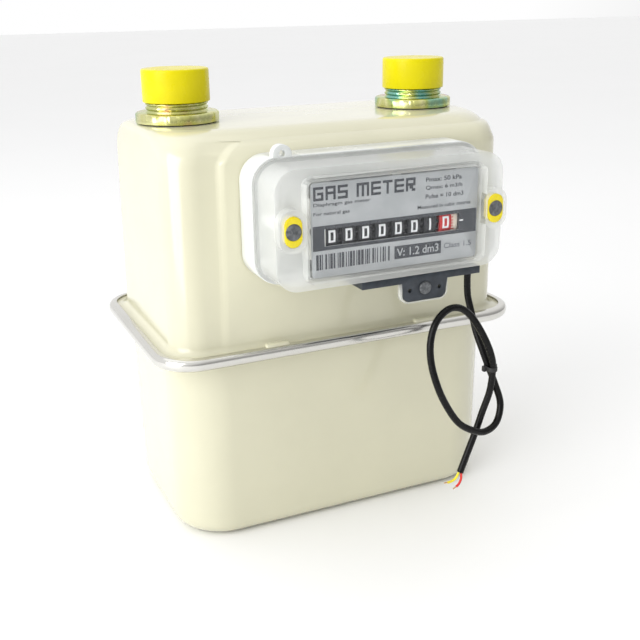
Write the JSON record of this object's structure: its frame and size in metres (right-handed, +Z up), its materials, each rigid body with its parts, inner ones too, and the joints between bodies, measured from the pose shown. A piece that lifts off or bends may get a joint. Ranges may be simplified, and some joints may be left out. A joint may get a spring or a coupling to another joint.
{
  "type": "gas meter",
  "caption": "Diaphragm gas meter: drawn steel case with a clamped seam, two capped top connections, a clear-fronted roller index and a pulse output with a short cord.",
  "frame": {"origin": "middle of the case's flat base", "axes": "+Z up, the index faces -Y, the inlet connection is at -X and the outlet at +X"},
  "size_m": [0.1944, 0.1709, 0.226],
  "materials": {
    "casing_paint": "gloss",
    "band_steel": "satin",
    "zinc_plated": "satin",
    "plain_steel": "satin",
    "black_rubber": "matt",
    "cap_yellow": "gloss",
    "index_white": "gloss",
    "index_clear": "clear",
    "label_grey": "matt",
    "drum_black": "matt",
    "drum_red": "matt",
    "gear_white": "matt",
    "seal_yellow": "gloss",
    "seal_lead": "dull",
    "module_dark": "matt",
    "glass_tube": "clear",
    "cord_black": "semi-matt",
    "lead_red": "gloss",
    "lead_yellow": "gloss",
    "unit_plastic": "matt",
    "diaphragm_rubber": "matt",
    "valve_black": "matt"
  },
  "bodies": {
    "case": {"upper_casing": "casing_paint", "lower_casing": "casing_paint", "seam_band": "band_steel", "seam_gasket": "black_rubber", "inlet_connector": "zinc_plated", "outlet_connector": "zinc_plated", "connector_seals": "black_rubber", "connector_locknuts": "zinc_plated", "index_base": "index_white", "index_gasket": "black_rubber", "index_screws": "plain_steel", "index_cover": "index_clear", "cover_screws": "plain_steel", "seal_cups": "seal_yellow", "seal_plugs": "seal_lead", "index_plate": "label_grey", "counter_frame": "gear_white", "drum_shaft": "plain_steel", "pinion_shaft": "plain_steel", "shaft_gland": "black_rubber", "pulse_module": "module_dark", "reed_switch": "glass_tube", "strain_relief": "module_dark", "cord": "cord_black", "cord_tie": "black_rubber", "red_lead": "lead_red", "yellow_lead": "lead_yellow", "centre_body": "unit_plastic", "front_chamber_cover": "unit_plastic", "rear_chamber_cover": "unit_plastic", "front_diaphragm": "diaphragm_rubber", "rear_diaphragm": "diaphragm_rubber", "valve_table": "unit_plastic", "outlet_duct": "unit_plastic"},
    "inlet_cap": {"inlet_cap": "cap_yellow"},
    "outlet_cap": {"outlet_cap": "cap_yellow"},
    "crank": {"crank": "gear_white"},
    "index_shaft": {"index_shaft": "plain_steel"},
    "drum_1": {"drum_1": "drum_black"},
    "drum_2": {"drum_2": "drum_black"},
    "drum_3": {"drum_3": "drum_black"},
    "drum_4": {"drum_4": "drum_black"},
    "drum_5": {"drum_5": "drum_black"},
    "drum_6": {"drum_6": "drum_black"},
    "drum_7": {"drum_7": "drum_black"},
    "drum_8": {"drum_8": "drum_red", "pulse_magnet": "plain_steel"},
    "pinion_1": {"pinion_1": "gear_white"},
    "pinion_2": {"pinion_2": "gear_white"},
    "pinion_3": {"pinion_3": "gear_white"},
    "pinion_4": {"pinion_4": "gear_white"},
    "pinion_5": {"pinion_5": "gear_white"},
    "pinion_6": {"pinion_6": "gear_white"},
    "pinion_7": {"pinion_7": "gear_white"},
    "front_pan": {"front_pan": "plain_steel"},
    "front_flag": {"front_flag": "plain_steel"},
    "rear_pan": {"rear_pan": "plain_steel"},
    "rear_flag": {"rear_flag": "plain_steel"},
    "front_valve": {"front_valve": "valve_black"},
    "rear_valve": {"rear_valve": "valve_black"}
  },
  "joints": [
    {"name": "inlet_cap_pull", "type": "slide", "parent": "case", "child": "inlet_cap", "axis": [0, 0, 1], "range_m": [0, 0.05]},
    {"name": "outlet_cap_pull", "type": "slide", "parent": "case", "child": "outlet_cap", "axis": [0, 0, 1], "range_m": [0, 0.05]},
    {"name": "crank_spin", "type": "hinge", "parent": "case", "child": "crank", "pos_m": [0.0233, 0.004, 0.15], "axis": [0, 0, 1], "continuous": true},
    {"name": "index_shaft_spin", "type": "hinge", "parent": "case", "child": "index_shaft", "pos_m": [0.0393, 0, 0.1597], "axis": [0, 1, 0], "continuous": true},
    {"name": "drum_1_spin", "type": "hinge", "parent": "case", "child": "drum_1", "pos_m": [0, -0.0824, 0.1597], "axis": [1, 0, 0], "continuous": true},
    {"name": "drum_2_spin", "type": "hinge", "parent": "case", "child": "drum_2", "pos_m": [0, -0.0824, 0.1597], "axis": [1, 0, 0], "continuous": true},
    {"name": "drum_3_spin", "type": "hinge", "parent": "case", "child": "drum_3", "pos_m": [0, -0.0824, 0.1597], "axis": [1, 0, 0], "continuous": true},
    {"name": "drum_4_spin", "type": "hinge", "parent": "case", "child": "drum_4", "pos_m": [0, -0.0824, 0.1597], "axis": [1, 0, 0], "continuous": true},
    {"name": "drum_5_spin", "type": "hinge", "parent": "case", "child": "drum_5", "pos_m": [0, -0.0824, 0.1597], "axis": [1, 0, 0], "continuous": true},
    {"name": "drum_6_spin", "type": "hinge", "parent": "case", "child": "drum_6", "pos_m": [0, -0.0824, 0.1597], "axis": [1, 0, 0], "continuous": true},
    {"name": "drum_7_spin", "type": "hinge", "parent": "case", "child": "drum_7", "pos_m": [0, -0.0824, 0.1597], "axis": [1, 0, 0], "continuous": true},
    {"name": "drum_8_spin", "type": "hinge", "parent": "case", "child": "drum_8", "pos_m": [0, -0.0824, 0.1597], "axis": [1, 0, 0], "continuous": true},
    {"name": "pinion_1_spin", "type": "hinge", "parent": "case", "child": "pinion_1", "pos_m": [0, -0.0734, 0.17042], "axis": [1, 0, 0], "continuous": true},
    {"name": "pinion_2_spin", "type": "hinge", "parent": "case", "child": "pinion_2", "pos_m": [0, -0.0734, 0.17042], "axis": [1, 0, 0], "continuous": true},
    {"name": "pinion_3_spin", "type": "hinge", "parent": "case", "child": "pinion_3", "pos_m": [0, -0.0734, 0.17042], "axis": [1, 0, 0], "continuous": true},
    {"name": "pinion_4_spin", "type": "hinge", "parent": "case", "child": "pinion_4", "pos_m": [0, -0.0734, 0.17042], "axis": [1, 0, 0], "continuous": true},
    {"name": "pinion_5_spin", "type": "hinge", "parent": "case", "child": "pinion_5", "pos_m": [0, -0.0734, 0.17042], "axis": [1, 0, 0], "continuous": true},
    {"name": "pinion_6_spin", "type": "hinge", "parent": "case", "child": "pinion_6", "pos_m": [0, -0.0734, 0.17042], "axis": [1, 0, 0], "continuous": true},
    {"name": "pinion_7_spin", "type": "hinge", "parent": "case", "child": "pinion_7", "pos_m": [0, -0.0734, 0.17042], "axis": [1, 0, 0], "continuous": true},
    {"name": "front_pan_slide", "type": "slide", "parent": "case", "child": "front_pan", "axis": [0, -1, 0], "range_m": [-0.0049, 0.0049]},
    {"name": "front_flag_swing", "type": "hinge", "parent": "case", "child": "front_flag", "pos_m": [0.044, -0.008, 0.1], "axis": [0, 0, 1], "range_deg": [-10.2, 10.2]},
    {"name": "rear_pan_slide", "type": "slide", "parent": "case", "child": "rear_pan", "axis": [0, 1, 0], "range_m": [-0.0049, 0.0049]},
    {"name": "rear_flag_swing", "type": "hinge", "parent": "case", "child": "rear_flag", "pos_m": [-0.044, 0.008, 0.1], "axis": [0, 0, 1], "range_deg": [-10.2, 10.2]},
    {"name": "front_valve_slide", "type": "slide", "parent": "case", "child": "front_valve", "axis": [0, 1, 0], "range_m": [-0.004, 0.004]},
    {"name": "rear_valve_slide", "type": "slide", "parent": "case", "child": "rear_valve", "axis": [1, 0, 0], "range_m": [-0.004, 0.004]}
  ],
  "couplings": [
    {"joint": "index_shaft_spin", "follows": "crank_spin", "ratio": 0.05},
    {"joint": "drum_1_spin", "follows": "crank_spin", "ratio": 0.0000000025},
    {"joint": "drum_2_spin", "follows": "crank_spin", "ratio": 0.000000025},
    {"joint": "drum_3_spin", "follows": "crank_spin", "ratio": 0.00000025},
    {"joint": "drum_4_spin", "follows": "crank_spin", "ratio": 0.0000025},
    {"joint": "drum_5_spin", "follows": "crank_spin", "ratio": 0.000025},
    {"joint": "drum_6_spin", "follows": "crank_spin", "ratio": 0.00025},
    {"joint": "drum_7_spin", "follows": "crank_spin", "ratio": 0.0025},
    {"joint": "drum_8_spin", "follows": "crank_spin", "ratio": 0.025},
    {"joint": "pinion_1_spin", "follows": "crank_spin", "ratio": -0.00000000625},
    {"joint": "pinion_2_spin", "follows": "crank_spin", "ratio": -0.0000000625},
    {"joint": "pinion_3_spin", "follows": "crank_spin", "ratio": -0.000000625},
    {"joint": "pinion_4_spin", "follows": "crank_spin", "ratio": -0.00000625},
    {"joint": "pinion_5_spin", "follows": "crank_spin", "ratio": -0.0000625},
    {"joint": "pinion_6_spin", "follows": "crank_spin", "ratio": -0.000625},
    {"joint": "pinion_7_spin", "follows": "crank_spin", "ratio": -0.00625},
    {"joint": "front_flag_swing", "follows": "front_pan_slide", "rad_per_m": 35.714},
    {"joint": "rear_flag_swing", "follows": "rear_pan_slide", "rad_per_m": 35.714}
  ]
}
